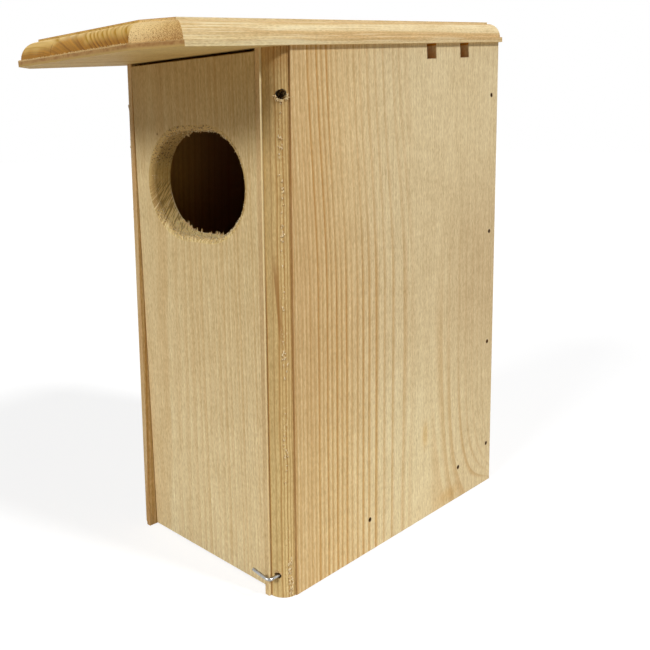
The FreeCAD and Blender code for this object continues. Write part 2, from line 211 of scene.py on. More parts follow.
class Graph:
    """Adds shader nodes to a material or world; values may be numbers, colours or other nodes' outputs."""

    def __init__(self, owner):
        owner.use_nodes = True
        self.tree = owner.node_tree
        self.tree.nodes.clear()

    def add(self, kind, inputs, out=0, **props):
        node = self.tree.nodes.new(kind)
        for key, value in props.items():
            setattr(node, key, value)
        for key, value in inputs.items():
            socket = node.inputs[key]
            if isinstance(value, bpy.types.NodeSocket):
                self.tree.links.new(value, socket)
            elif isinstance(value, tuple) and len(value) == 3 and socket.type == "RGBA":
                socket.default_value = (*value, 1.0)
            else:
                socket.default_value = value
        return node.outputs[out] if node.outputs else None

    def math(self, op, a, b=0.0):
        return self.add("ShaderNodeMath", {0: a, 1: b}, operation=op)

    def total(self, *values):
        result = values[0]
        for value in values[1:]:
            result = self.math("ADD", result, value)
        return result

    def times(self, *values):
        result = values[0]
        for value in values[1:]:
            result = self.math("MULTIPLY", result, value)
        return result

    def minus(self, a, b):
        return self.math("SUBTRACT", a, b)

    def most(self, a, b):
        return self.math("MAXIMUM", a, b)

    def size(self, value):
        return self.math("ABSOLUTE", value)

    def length(self, *offsets):
        return self.math("SQRT", self.total(*[self.times(v, v) for v in offsets]))

    def swing(self, noise, amount):
        """A noise of about a half, as a change of up to half the amount each way."""
        return self.times(self.minus(noise, 0.5), amount)

    def step(self, value, low, high, to_low=0.0, to_high=1.0):
        """Smooth step of value from low to high."""
        inputs = {0: value, 1: low, 2: high, 3: to_low, 4: to_high}
        return self.add("ShaderNodeMapRange", inputs, interpolation_type="SMOOTHSTEP")

    def fall(self, value, low, high, start=1.0):
        """Smooth step down from start to nothing."""
        return self.step(value, low, high, start, 0.0)

    def between(self, value, low, high, soft=0.05, height=1.0):
        """As high as height between low and high, nothing outside them."""
        above = self.step(value, low - soft, low + soft)
        return self.times(above, self.fall(value, high - soft, high + soft, height))

    def vector(self, x, y, z):
        return self.add("ShaderNodeCombineXYZ", {0: x, 1: y, 2: z})

    def split(self, vector):
        node = self.tree.nodes.new("ShaderNodeSeparateXYZ")
        self.tree.links.new(vector, node.inputs[0])
        return list(node.outputs)

    def noise(self, vector, scale, detail=2.0, rough=0.5):
        inputs = {"Vector": vector, "Scale": scale, "Detail": detail, "Roughness": rough}
        return self.add("ShaderNodeTexNoise", inputs)

    def noise_line(self, w, scale, detail=1.0):
        inputs = {"W": w, "Scale": scale, "Detail": detail}
        return self.add("ShaderNodeTexNoise", inputs, noise_dimensions="1D")

    def mix(self, factor, a, b, blend="MIX"):
        inputs = {0: factor, 6: a, 7: b}
        return self.add("ShaderNodeMix", inputs, out=2, data_type="RGBA", blend_type=blend)

    def mix_value(self, factor, a, b):
        return self.add("ShaderNodeMix", {0: factor, 2: a, 3: b}, data_type="FLOAT")

    def bands(self, place, rows):
        """Dark lines at given places: each row is a place, the width of the line and its strength."""
        if len(rows) > MOST_BANDS:
            return self.most(self.bands(place, rows[:MOST_BANDS]), self.bands(place, rows[MOST_BANDS:]))
        low, high = rows[0][0] - rows[0][1] - 1.0, rows[-1][0] + 2.0
        node = self.tree.nodes.new("ShaderNodeValToRGB")
        stops = node.color_ramp.elements
        for at, width, strength in rows:
            for edge, level in ((at - width, 0.0), (at, strength), (at + 0.5, 0.0)):
                stop = stops.new((edge - low) / (high - low))
                stop.color = (level, level, level, 1.0)
        stops.remove(stops[0])
        stops.remove(stops[-1])
        share = self.math("DIVIDE", self.minus(place, low), high - low)
        self.tree.links.new(share, node.inputs[0])
        return node.outputs[0]

    def tint(self, colour, *parts):
        """Colour times a value for each of red, green and blue."""
        values = self.add("ShaderNodeCombineColor", dict(enumerate(parts)))
        return self.mix(1.0, colour, values, "MULTIPLY")

    def warm_tint(self, colour, value):
        """Colour times a value, warmer where the value is low."""
        return self.tint(colour, value, self.math("POWER", value, 1.25), self.math("POWER", value, 1.7))

    def surface(self, colour, roughness, bump, distance, metallic=0.0, specular=0.35, edge=(1.0, 1.0, 1.0)):
        normal = self.add("ShaderNodeBump", {"Height": bump, "Distance": distance, "Strength": 1.0})
        inputs = {"Base Color": colour, "Roughness": roughness, "Metallic": metallic, "Normal": normal}
        inputs["Specular IOR Level"] = specular
        inputs["Specular Tint"] = edge
        shader = self.add("ShaderNodeBsdfPrincipled", inputs)
        self.add("ShaderNodeOutputMaterial", {"Surface": shader})


def place(g):
    """Position in millimetres and normal in the part's frame, three values each."""
    at = g.add("ShaderNodeTexCoord", {}, out=3)
    facing = g.add("ShaderNodeTexCoord", {}, out=1)
    big = g.add("ShaderNodeVectorMath", {0: at, 1: (1 / MM, 1 / MM, 1 / MM)}, operation="MULTIPLY")
    return g.split(big), g.split(facing)


def pitched(g, at, angle):
    """The place on a board that slopes up toward the back by an angle."""
    c, s = math.cos(angle), math.sin(angle)
    along = g.total(g.times(at[1], c), g.times(at[2], s))
    up = g.minus(g.times(at[2], c), g.times(at[1], s))
    return [at[0], along, up]


def late_line(g, past):
    """Latewood across one ring: a slow rise up to its dark edge, then a quick fall."""
    return g.times(g.step(past, -LATE_RISE, -0.25), g.fall(past, 0.0, 0.7))


def pine(name, grain, pith, rings, taper=0.0, contrast=1.0, seed=0.0, wander=8.0, phase=0.0, uneven=0.9,
         weight=None, bulge=None, lean=None, extra=(), bands=None, pitch=0.0,
         ends=(END_EARLY, END_LATE), coats=()):
    """Solid pine: growth rings round a pith line that runs along the grain axis, so that each face of the
    board shows the lines, arches or arcs that its cut would show. Each coat then changes the colour."""
    material = bpy.data.materials.new(name)
    g = Graph(material)
    at, facing = place(g)
    cross = [i for i in range(3) if i != grain]
    board = pitched(g, at, pitch) if pitch else at
    a, b, along = board[cross[0]], board[cross[1]], board[grain]

    slow_at = g.vector(g.total(a, seed * 37.0), b, g.times(along, 0.10))
    slow = g.swing(g.noise(slow_at, 0.012, 2.0), wander)
    ripple_at = g.vector(a, g.total(b, seed * 19.0), g.times(along, 0.12))
    ripple = g.swing(g.noise(ripple_at, 0.09, 1.0), 0.9)
    radius = g.length(g.minus(a, pith[0]), g.minus(b, pith[1]))
    radius = g.total(radius, g.times(along, taper), slow, ripple)
    if lean:
        low, high, amount = lean
        radius = g.total(radius, g.step(along, low, high, 0.0, amount))
    if bulge:
        centre, reach, amount = bulge
        far = g.length(*[g.minus(at[i], centre[i]) for i in range(3)])
        swell = g.math("EXPONENT", g.times(far, -1.0 / reach))
        radius = g.total(radius, g.times(swell, amount))

    width = g.swing(g.noise_line(g.total(radius, seed * 53.0), 0.05), uneven)
    first, second = rings
    count = g.total(g.times(radius, first), g.times(radius, radius, second), width, phase)
    each = g.add("ShaderNodeTexWhiteNoise", {"W": g.math("FLOOR", count)}, noise_dimensions="1D")
    # millimetres past the dark edge of the ring's latewood
    per_mm = g.total(g.times(radius, 2.0 * second), first)
    past = g.math("DIVIDE", g.minus(g.math("FRACT", count), LATE_EDGE), per_mm)
    late = g.times(late_line(g, past), g.step(each, 0.0, 1.0, 0.55, 1.0))
    for at_radius, strength in extra:
        line = late_line(g, g.minus(radius, at_radius))
        late = g.most(late, g.times(line, strength))
    late = g.times(late, contrast)
    if weight:
        late = g.times(late, weight(g, at))

    fibre = g.noise(g.vector(a, b, g.times(along, 0.22)), 1.35, 1.0, 0.6)
    hair = g.noise(g.vector(a, b, g.times(along, 0.018)), 0.80, 3.0, 0.75)
    mottle = g.noise(g.vector(a, g.total(b, seed * 11.0), g.times(along, 1.2)), 0.05, 2.0)
    speckle = g.noise(g.vector(*at), 0.85, 3.0, 0.7)
    chatter = g.noise(g.vector(g.times(a, 0.22), g.times(b, 0.22), along), 0.24, 1.0)
    end = g.step(g.size(facing[grain]), 0.35, 0.85)
    tone = g.total(0.40, g.times(fibre, 0.62), g.times(hair, 0.36), g.times(mottle, 0.14),
                   g.times(chatter, 0.09))
    streak = g.fall(hair, 0.40, 0.58, 0.12)
    face = g.warm_tint(g.mix(g.most(late, streak), EARLY, LATE), tone)
    grit = g.total(0.70, g.times(speckle, 0.60))
    if bands:
        late = g.mix_value(end, late, g.math("POWER", g.bands(radius, bands), 1.3))
        grit = g.total(grit, g.swing(g.noise_line(radius, 0.7), 0.6))
    cut = g.tint(g.mix(late, *ends), grit, grit, grit)
    colour = g.mix(end, face, cut)

    marks = {"hair": hair, "speckle": speckle, "end": end, "late": late, "along": along}
    for coat in coats:
        colour = coat(g, at, facing, colour, marks)
    height = g.total(g.times(late, -0.2), g.times(fibre, 0.5), g.times(hair, 0.3), g.times(end, speckle, 1.6))
    g.surface(colour, PINE_ROUGH, height, PINE_BUMP)
    return material


def line_distance(g, at, axis, point):
    """Distance from a line through point along an axis."""
    return g.length(*[g.minus(at[i], point[i]) for i in range(3) if i != axis])


def side_holes(points, radius, colour, amount, ragged=0.0):
    """Coat: the walls of small holes into a side board, which the light hardly reaches."""
    def coat(g, at, facing, old, marks):
        near = 0.0
        rough = g.swing(marks["speckle"], ragged)
        for point in points:
            away = g.total(line_distance(g, at, 0, point), rough)
            near = g.most(near, g.fall(away, radius * 0.9, radius * 1.1, amount))
        return g.mix(near, old, colour)
    return coat


def hook_bore(g, at, facing, old, marks):
    """Coat: painted shade in the mouth of the hook's hole in the board's front edge."""
    away = line_distance(g, at, 1, (HOOK_X, 0.0, HOOK_Z))
    front = g.fall(at[1], 0.0, 10.0, 0.9)
    return g.mix(g.times(front, g.fall(away, 2.0, 2.5)), old, HOLE_SHADE)


def painted_inside_shade(g, at, facing, old, marks):
    """Coat: painted shade on faces that look into the nest chamber, darker away from the entrance."""
    x = g.between(at[0], -HALF_IN - 0.1, HALF_IN + 0.1)
    y = g.between(at[1], FRONT_Y + BOARD - 0.6, BACK_Y - BOARD + 0.1)
    # painted shade, lighter near the entrance
    shade = g.mix(g.step(at[1], -60.0, 5.0), INSIDE_NEAR_SHADE, INSIDE_FAR_SHADE)
    plain = g.mix(g.times(x, y, 0.5), old, INSIDE)
    return g.mix(g.times(x, y), plain, shade, "MULTIPLY")


def fine_lines(amount, start, stop, front):
    """Coat: hair lines close together up the board, behind front, fading out from start to stop."""
    def coat(g, at, facing, old, marks):
        near = g.times(g.fall(at[1], start, stop, amount), g.step(at[1], front - 0.5, front + 0.5))
        lines = g.noise(g.vector(at[0], at[1], g.times(at[2], 0.012)), 1.0, 1.0)
        return g.mix(g.times(near, g.fall(lines, 0.44, 0.56)), old, LATE)
    return coat


def routed_side(g, at, facing, old, marks):
    """Coat: lines, a stain and torn specks on the side board's quarter round, painted shade at its top under
    the roof, its brown foot, a painted highlight on the step before it, the front lip, and the brown quirk
    behind it."""
    far_out = g.size(at[0])
    routed = g.times(g.fall(at[1], ROUND_Y - 0.2, ROUND_Y + 0.2),
                     g.fall(far_out, QUIRK_X - 0.02, QUIRK_X + 0.06),
                     g.step(far_out, ROUND_X - 0.02, ROUND_X + 0.04),
                     g.step(at[1], FRONT_Y + 1.9, FRONT_Y + 1.98))
    turn = g.math("ARCTAN2", g.minus(far_out, ROUND_X), g.minus(ROUND_Y, at[1]))
    run = g.times(turn, ROUND_R)
    arc = g.total(run, g.swing(g.noise_line(at[2], 0.012), 2.2))
    colour = g.mix(routed, old, ROUND_TINT, "MULTIPLY")
    colour = g.mix(g.times(routed, g.bands(arc, ROUND_LINES)), colour, ROUND_LINE)

    drift = g.minus(run, g.total(STAIN_LINE[0], g.times(at[2], STAIN_LINE[1])))
    stain = g.times(g.step(drift, -0.9, -0.4), g.fall(drift, 0.4, 3.6), g.between(at[2], *STAIN_Z, 13.0))
    colour = g.mix(g.times(routed, stain, 0.75), colour, ROUND_STAIN)
    grains = g.noise(g.vector(run, 0.0, g.times(at[2], 0.45)), 1.1, 1.0)
    patchy = g.step(g.noise_line(at[2], 0.035), 0.44, 0.62, 0.15, 1.0)
    specked = g.times(routed, g.between(arc, *SPECK_ARC, 1.2), patchy)
    colour = g.mix(g.times(specked, g.step(grains, 0.58, 0.68, 0.0, 0.45)), colour, ROUND_SPECK)
    colour = g.mix(g.times(specked, g.fall(grains, 0.32, 0.42, 0.40)), colour, ROUND_PIT)

    upper = g.times(g.step(at[2], 200.0, 330.0), g.step(turn, 0.35, 0.75, 1.0, 0.4))
    colour = g.mix(g.times(routed, upper), colour, ROUND_HIGH_TINT, "MULTIPLY")
    # painted shade at the top of the round, under the roof
    colour = g.mix(g.times(routed, g.step(at[2], 362.0, 378.0)), colour, ROUND_TOP_SHADE, "MULTIPLY")
    foot = g.times(routed, g.fall(turn, 0.05, 0.13), g.step(at[2], 190.0, 270.0, 0.9, 0.3))
    colour = g.mix(foot, colour, ROUND_FOOT)

    # painted highlight on the step's face, stronger higher up
    step = g.times(g.step(g.size(facing[0]), 0.7, 0.9),
                   g.between(far_out, ROUND_X - 0.1, ROUND_X + 0.1, 0.02),
                   g.fall(at[1], FRONT_Y + 1.9, FRONT_Y + 2.1))
    colour = g.mix(g.times(step, g.step(at[2], 60.0, 240.0, 0.35, 0.85)), colour, STEP_HIGHLIGHT)
    front = g.fall(facing[1], -0.8, -0.5)
    lip = g.times(g.fall(far_out, ROUND_X - 0.3, ROUND_X - 0.1), front)
    colour = g.mix(lip, colour, SIDE_LIP_TINT, "MULTIPLY")
    quirk = g.times(g.step(far_out, QUIRK_X - 0.06, QUIRK_X + 0.02),
                    g.fall(at[1], ROUND_Y + 0.2, ROUND_Y + 0.6), front)
    return g.mix(g.times(quirk, g.step(at[2], 150.0, 330.0, 0.70, 0.75)), colour, QUIRK_BROWN)


def paler_behind(g, at, facing, old, marks):
    """Coat: the side board's paler, plainer wood away from the door, and painted light that makes it palest
    low down.
    """
    high = g.step(at[2], 230.0, 330.0)
    # painted light low down
    colour = g.mix(g.fall(at[2], 60.0, 190.0), old, SIDE_LOW_LIGHT, "MULTIPLY")
    colour = g.mix(high, colour, SIDE_HIGH_TINT, "MULTIPLY")
    colour = g.mix(g.step(at[1], -30.0, 40.0), colour, SIDE_BEHIND_TINT, "MULTIPLY")
    last = g.times(g.step(at[1], 90.0, 150.0), g.minus(1.0, high))
    return g.mix(last, colour, SIDE_BACK_TINT, "MULTIPLY")


def brown_marks(g, at, facing, old, marks):
    """Coat: soft brown marks low on the outside of the right side, where its grain turns."""
    near = 0.0
    ragged = g.swing(marks["hair"], 1.2)
    for y, z, wide, tall in BROWN_MARKS:
        across = g.times(g.minus(at[1], y), 1.0 / wide)
        up = g.times(g.minus(at[2], z), 1.0 / tall)
        away = g.total(g.length(across, up), ragged)
        near = g.most(near, g.fall(away, 0.1, 1.0))
    outside = g.step(facing[0], 0.5, 0.8)
    return g.mix(g.times(near, outside), old, MARK_TINT, "MULTIPLY")


def door_light_and_shade(g, at, facing, old, marks):
    """Coat: painted light that makes the door paler toward its foot, painted shade under the roof that makes
    it browner at its head, and a slight tint up high.
    """
    # painted shade at the head, under the roof; painted light toward the foot
    colour = g.mix(g.step(at[2], 290.0, 375.0), old, DOOR_HEAD_SHADE, "MULTIPLY")
    colour = g.mix(g.step(at[2], 0.0, 300.0, 1.0, 0.2), colour, DOOR_FOOT_LIGHT, "MULTIPLY")
    return g.mix(g.step(at[2], 120.0, 310.0, 0.3, 1.0), colour, DOOR_UPPER_TINT, "MULTIPLY")


def roof_height(g, at):
    """Height above the roof's underside, square to it."""
    rise = g.times(g.minus(BACK_Y, at[1]), math.tan(PITCH))
    under = g.minus(BACK_HEIGHT, rise)
    return g.times(g.minus(at[2], under), math.cos(PITCH))


def sideways(g, facing):
    """Which way a face of the roof's edge turns: 0 toward the front or back, 1 toward a side."""
    across = g.size(facing[0])
    return g.math("DIVIDE", across, g.total(across, g.size(facing[1]), 0.0001))


def on_front(g, facing):
    """How far a face belongs to the roof's front, the clipped corners included."""
    return g.times(g.fall(sideways(g, facing), 0.66, 0.78), g.fall(facing[1], -0.15, -0.05))


def on_clip(g, facing):
    """How far a face belongs to one of the roof's clipped corners."""
    return g.times(g.between(sideways(g, facing), 0.25, 0.72, 0.06), g.fall(facing[1], -0.08, -0.02))


def on_long_edge(g, facing):
    """How far a face belongs to one of the roof's long edges."""
    return g.times(g.step(g.size(facing[0]), 0.25, 0.5), g.step(sideways(g, facing), 0.80, 0.92))


def roof_front(g, at, facing, old, marks):
    """Coat: the front's round, brown below and pale above, with its growth rings and one drying crack."""
    height = roof_height(g, at)
    front = on_front(g, facing)
    lower = g.times(front, g.fall(height, LIP + 1.0, BOARD - 4.0, 0.9))
    colour = g.mix(lower, old, ROOF_LOW_TINT, "MULTIPLY")
    sway = g.minus(g.swing(g.noise_line(at[0], 0.08), 6.0), g.between(at[0], -20.0, 14.0, 6.0, 4.5))
    upper = g.times(front, g.step(g.total(height, sway), LIP + 2.5, BOARD - 4.5, 0.0, 0.72))
    colour = g.mix(upper, colour, ROOF_PALE)
    lines = g.times(marks["late"], g.step(height, BOARD - 4.0, BOARD - 0.5, 2.8, 0.9))
    colour = g.mix(g.times(upper, lines), colour, ROOF_LINE)
    crack_x = g.total(at[0], CRACK_X, g.times(marks["speckle"], 1.2))
    crack = g.times(g.between(crack_x, -0.35, 0.35, 0.2), g.between(height, LIP, 12.0, 1.0))
    return g.mix(g.times(crack, 0.8), colour, END_LATE)


def roof_sides(g, at, facing, old, marks):
    """Coat: streaks along the roof's long edges, and a painted highlight that makes them paler toward the
    front.
    """
    long_edge = on_long_edge(g, facing)
    streak_at = g.vector(g.times(at[0], 0.6), g.times(marks["along"], 0.014), roof_height(g, at))
    streak = g.noise(streak_at, 1.05, 2.0, 0.6)
    colour = g.mix(g.times(long_edge, g.step(streak, 0.52, 0.64, 0.0, 0.22)), old, STREAK_DARK)
    colour = g.mix(g.times(long_edge, g.fall(streak, 0.36, 0.48, 0.45)), colour, STREAK_PALE)
    # painted highlight toward the front
    toward_front = g.step(at[1], -150.0, 20.0, 1.0, 0.35)
    return g.mix(g.times(long_edge, toward_front), colour, LONG_EDGE_HIGHLIGHT, "MULTIPLY")


def roof_clips(g, at, facing, old, marks):
    """Coat: fuzzy, dotted cuts across the clipped corners, above the lip."""
    height = roof_height(g, at)
    outer = g.step(g.size(at[0]), ROOF_HALF - CLIP_X, ROOF_HALF - 3.0)
    fewer = g.total(g.times(outer, 0.12), g.fall(height, LIP, BOARD - 2.0, 0.05))
    dots = g.minus(g.noise(g.vector(*at), 1.8, 1.0, 0.6), fewer)
    fuzzy = g.mix(g.step(dots, 0.29, 0.43), FUZZ_DOT, g.mix(outer, FUZZ_INNER, FUZZ_OUTER))
    above = g.step(height, LIP - 0.05, LIP + 0.05)
    return g.mix(g.times(on_clip(g, facing), above, 0.92), old, fuzzy)


def roof_lip(g, at, facing, old, marks):
    """Coat: the sawn lip along the front and the clipped corners, with its torn upper edge."""
    height = roof_height(g, at)
    below = g.times(on_front(g, facing), g.fall(height, LIP - 0.05, LIP + 0.05))
    blotch = g.step(g.noise(g.vector(*at), 0.16, 3.0, 0.65), 0.42, 0.66)
    sawn = g.mix(g.fall(height, 0.5, 2.2), g.mix(blotch, SAWN, SAWN_DARK), SAWN_LOW)
    colour = g.mix(g.times(below, 0.9), old, sawn)
    ragged = g.total(height, g.swing(marks["speckle"], 1.2))
    torn_edge = g.times(below, g.step(ragged, LIP - 0.65, LIP - 0.35))
    less = g.step(on_clip(g, facing), 0.0, 1.0, 0.85, 0.3)
    return g.mix(g.times(torn_edge, less), colour, LIP_EDGE)


def roof_rest(g, at, facing, old, marks):
    """Coat: painted bounce light on the underside, brighter to the right and more yellow to the left, the
    plain back end, and the cutter's line along the top of the front.
    """
    # painted bounce light on the underside
    underside_light = g.mix(g.step(at[0], 10.0, 70.0), UNDER_LEFT_LIGHT, UNDER_RIGHT_LIGHT)
    colour = g.mix(g.fall(facing[2], -0.9, -0.6), old, underside_light, "MULTIPLY")
    behind = g.step(facing[1], 0.5, 0.8)
    colour = g.mix(g.times(behind, 0.75), colour, BACK_PALE)
    colour = g.mix(g.times(behind, marks["late"], 0.55), colour, BACK_LINE)
    top = g.step(roof_height(g, at), BOARD - 0.45, BOARD - 0.3)
    upright = g.fall(facing[2], 0.4, 0.7)
    return g.mix(g.times(top, upright, on_front(g, facing), 0.6), colour, CUTTER_LINE)


def fuzzy_entrance(g, at, facing, old, marks):
    """Coat: the entrance's cut: brown all round, with painted light on its wall, specked above, combed at the
    sides, and pale below, much of that painted light.
    """
    aside = g.size(g.minus(at[0], HOLE_X))
    off_x = g.most(g.minus(aside, HOLE_REACH), 0.0)
    off_z = g.minus(at[2], HOLE_Z)
    rise = g.math("DIVIDE", off_z, HOLE_R)
    rough = g.times(g.swing(marks["speckle"], 2.4), g.size(rise))
    edge = HOLE_R + HOLE_ROUND - 0.25
    cut = g.fall(g.total(g.length(off_x, off_z), rough), edge - 0.35, edge + 0.35)
    hung = FRONT_Y + (PIVOT_Z - HOLE_Z) * math.tan(TILT)
    depth = g.minus(g.total(at[1], g.times(off_z, math.tan(TILT))), hung)
    rim = g.times(cut, g.fall(depth, 1.5, 6.5))
    low = g.fall(rise, -0.80, -0.40)
    high = g.step(rise, 0.20, 0.55)
    # painted light on the wall and, below, on the rim
    brown = g.mix(rim, WALL_LIGHT, RIM_TINT)
    brown = g.mix(high, brown, WALL_HIGH_TINT)
    brown = g.mix(low, brown, g.mix(rim, WALL_LOW_LIGHT, RIM_LOW_LIGHT))
    plain = g.mix(g.times(cut, marks["end"]), old, ENTRANCE_END)
    colour = g.mix(cut, plain, brown, "MULTIPLY")

    # strokes of the cutter, slanting out of the hole toward its foot
    flat = g.minus(HOLE_REACH, g.math("MINIMUM", aside, HOLE_REACH))
    down = g.minus(flat, g.times(g.math("ARCTAN2", off_z, off_x), HOLE_R))
    stroke_at = g.vector(g.total(down, depth), g.times(g.minus(down, depth), 0.07), 0.0)
    combed = g.noise(stroke_at, 0.62, 1.0, 0.6)
    sides = g.times(cut, g.fall(rise, -0.15, 0.10), g.step(rise, -1.05, -0.75, 0.55, 1.0))
    colour = g.mix(g.times(sides, g.fall(combed, 0.42, 0.54, 0.75)), colour, STROKE_DARK)
    light = g.times(cut, g.fall(rise, -0.45, -0.10), g.step(combed, 0.54, 0.66, 0.0, 0.7))
    colour = g.mix(light, colour, STROKE_PALE)
    arris = g.times(cut, g.step(depth, BOARD - 0.9, BOARD - 0.5), g.fall(rise, -0.35, 0.05, 0.8))
    colour = g.mix(arris, colour, ARRIS_PALE)
    specks = g.noise(g.vector(*at), 0.62, 2.0, 0.6)
    pits = g.times(cut, high, g.fall(specks, 0.38, 0.46, 0.85))
    return g.mix(pits, colour, PIT_DARK)


def nick(g, at, facing, old, marks):
    """Coat: a small dark dent on the door beside the entrance."""
    return g.mix(g.fall(line_distance(g, at, 1, NICK), 0.6, 1.3, 0.8), old, BURNT)


def vents(g, at, facing, old, marks):
    """Coat: painted shade on the faces of the vent notches under the roof."""
    near = 0.0
    for y in VENT_Y:
        near = g.most(near, g.between(at[1], y - VENT_HALF - 0.1, y + VENT_HALF + 0.1))
    top = g.step(roof_height(g, at), -VENT_DEPTH - 0.3, -VENT_DEPTH - 0.1)
    turned = g.fall(g.size(facing[0]), 0.4, 0.6)
    # painted shade in the notches
    return g.mix(g.times(near, top, turned), old, VENT_SHADE, "MULTIPLY")


def side_weight(g, at):
    """How strongly a side board's rings show: less beside the round, then plainly, fading toward the top in
    the middle, almost gone over the pith, and again behind it low down."""
    high = g.step(at[2], 190.0, 290.0)
    front = g.step(at[1], -66.0, -58.0, g.step(at[1], -76.0, -75.0, 0.25, 0.7), 1.0)
    fading = g.minus(1.0, g.times(high, g.between(at[1], -36.0, 22.0, 6.0), 0.55))
    sparse = g.step(at[1], 15.0, 26.0, 1.0, g.step(high, 0.0, 1.0, 0.6, 0.38))
    middle = g.step(at[1], 52.0, 66.0, 1.0, 0.30)
    behind = g.times(g.step(at[1], 84.0, 96.0), g.step(high, 0.0, 1.0, 0.62, 0.26))
    behind = g.times(behind, g.step(g.total(at[1], g.times(at[2], 0.4)), 150.0, 190.0, 1.0, 0.40))
    return g.most(g.times(front, fading, sparse, middle), behind)


side_nails = side_holes(BACK_NAILS + FLOOR_NAILS, NAIL_R * 1.4, HOLE_SHADE, 0.92)
pivot_bore = side_holes([(0.0, PIVOT_Y, PIVOT_Z)], 3.5, DEEP_HOLE_SHADE, 0.95, ragged=3.5)
behind_round = fine_lines(0.30, -58.0, -36.0, FRONT_Y + BOARD - LIP)
all_over = fine_lines(0.16, 0.0, 1.0, FRONT_Y - 1.0)
LEFT_COATS = (painted_inside_shade, vents, routed_side, side_nails, pivot_bore)
RIGHT_COATS = (behind_round, paler_behind, brown_marks) + LEFT_COATS + (hook_bore,)
DOOR_COATS = (all_over, door_light_and_shade, fuzzy_entrance, nick)
ROOF_COATS = (roof_front, roof_sides, roof_clips, roof_lip, roof_rest)
# the knot low on the right side that its rings turn round
KNOT = ((HALF_OUT, 185.0, -10.0), 31.0, -55.0)

MATERIALS = {
    "right_side": pine("pine_right_side", 2, (6.5, 83.0), SIDE_RINGS, seed=1.0, wander=2.0, phase=0.59,
                       uneven=0.3, weight=side_weight, bulge=KNOT, lean=(210.0, 400.0, -8.0),
                       extra=((80.8, 0.6), (83.9, 0.75)), coats=RIGHT_COATS),
    "left_side": pine("pine_left_side", 2, (-20.0, 60.0), SIDE_RINGS, taper=0.022, seed=4.0, contrast=0.8,
                      coats=LEFT_COATS),
    "front_door": pine("pine_door", 2, (-60.0, -210.0), (0.36, 0.0), taper=0.010, seed=7.0, contrast=0.42,
                       ends=PLAIN_END, coats=DOOR_COATS),
    "back_panel": pine("pine_back", 2, (14.0, 250.0), (0.20, 0.0), taper=0.03, seed=11.0, contrast=0.35,
                       ends=PLAIN_END, coats=(painted_inside_shade,)),
    "floor_panel": pine("pine_floor", 1, (-20.0, -30.0), (0.21, 0.0), taper=0.02, seed=13.0, contrast=0.7,
                        ends=PLAIN_END),
    "roof": pine("pine_roof", 1, (-55.0, ROOF_PITH), (0.24, 0.0), taper=0.004, seed=17.0, contrast=0.6,
                 wander=4.0, bands=ROOF_BANDS, pitch=PITCH, coats=ROOF_COATS),
}
for board, material in MATERIALS.items():
    nodes[board].data.materials.clear()
    nodes[board].data.materials.append(material)


def steel(name, colour, roughness, stain, amount, scale, edge=(1.0, 1.0, 1.0)):
    """Metal with a worn, uneven surface; edge tints what it reflects at a slant."""
    material = bpy.data.materials.new(name)
    g = Graph(material)
    at, facing = place(g)
    cloud = g.noise(g.vector(*at), scale, 3.0, 0.6)
    fine = g.noise(g.vector(*at), scale * 6.0, 2.0, 0.6)
    colour = g.mix(g.times(g.step(cloud, 0.45, 0.75), amount), colour, stain)
    rough = g.total(roughness - 0.08, g.times(cloud, 0.16))
    g.surface(colour, rough, fine, STEEL_BUMP, metallic=1.0, specular=0.5, edge=edge)
    return material


METALS = {
    "zinc_wire": steel("zinc", (0.40, 0.40, 0.39), 0.24, (0.12, 0.115, 0.11), 0.8, 0.9),
    "screw_steel": steel("screw", (0.20, 0.19, 0.17), 0.42, (0.09, 0.07, 0.05), 0.8, 1.2),
    "nail_steel": steel("nail", (0.090, 0.030, 0.002), 0.7, (0.040, 0.014, 0.001), 0.8, 1.6,
                        edge=(0.40, 0.12, 0.01)),
}
slots = {row["node"]: row["material_slot"] for row in frame["record"]["subparts"]}
for name, obj in nodes.items():
    if slots[name] in METALS:
        obj.data.materials.clear()
        obj.data.materials.append(METALS[slots[name]])


def add_piece(name, body, points, faces, material):
    """A piece of the visual model, from points in millimetres, that rides on a body."""
    mesh = bpy.data.meshes.new(name)
    mesh.from_pydata([p * MM for p in points], [], faces)
    mesh.materials.append(material)
    piece = bpy.data.objects.new(name, mesh)
    bpy.context.scene.collection.objects.link(piece)
    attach(piece, body)


def nail_head(name, side, y, z):
    """Head of a finish nail driven level with a side board: a dished top, a rounded rim and a short shank."""
    points, faces = [], []
    for share, height in NAIL_RINGS:
        for i in range(NAIL_SIDES):
            turn = 2.0 * math.pi * i / NAIL_SIDES
            across, up = NAIL_R * share * math.cos(turn), NAIL_R * share * math.sin(turn)
            points.append(Vector((side * (HALF_OUT + height), y + across, z + up)))
    for ring in range(len(NAIL_RINGS) - 1):
        for i in range(NAIL_SIDES):
            a, b = ring * NAIL_SIDES + i, ring * NAIL_SIDES + (i + 1) % NAIL_SIDES
            faces.append((a, a + NAIL_SIDES, b + NAIL_SIDES, b))
    last = len(points) - 1
    faces += [tuple(range(NAIL_SIDES)), tuple(range(last, last - NAIL_SIDES, -1))]
    if side < 0:
        faces = [face[::-1] for face in faces]
    add_piece(name, "box", points, faces, METALS["nail_steel"])


for hand, side in (("right", 1), ("left", -1)):
    nail_head(hand + "_back_nail_low", side, LOW_NAIL[1], LOW_NAIL[2])


def torn_pine(name, dull, bright):
    """Torn fibres, where the cutters broke out of the grain."""
    material = bpy.data.materials.new(name)
    g = Graph(material)
    at, facing = place(g)
    grains = g.noise(g.vector(*at), 0.9, 2.0, 0.6)
    colour = g.mix(g.step(grains, 0.38, 0.62), dull, bright)
    g.surface(colour, TORN_ROUGH, grains, TORN_BUMP)
    return material


torn = torn_pine("pine_torn", (0.60, 0.40, 0.17), TORN)
fuzz = torn_pine("pine_fuzz", (0.80, 0.65, 0.38), (0.96, 0.87, 0.62))
lip_torn = torn_pine("pine_lip", (0.50, 0.32, 0.12), LIP_EDGE)
fleck = torn_pine("pine_fleck", (0.74, 0.55, 0.28), (0.96, 0.84, 0.58))


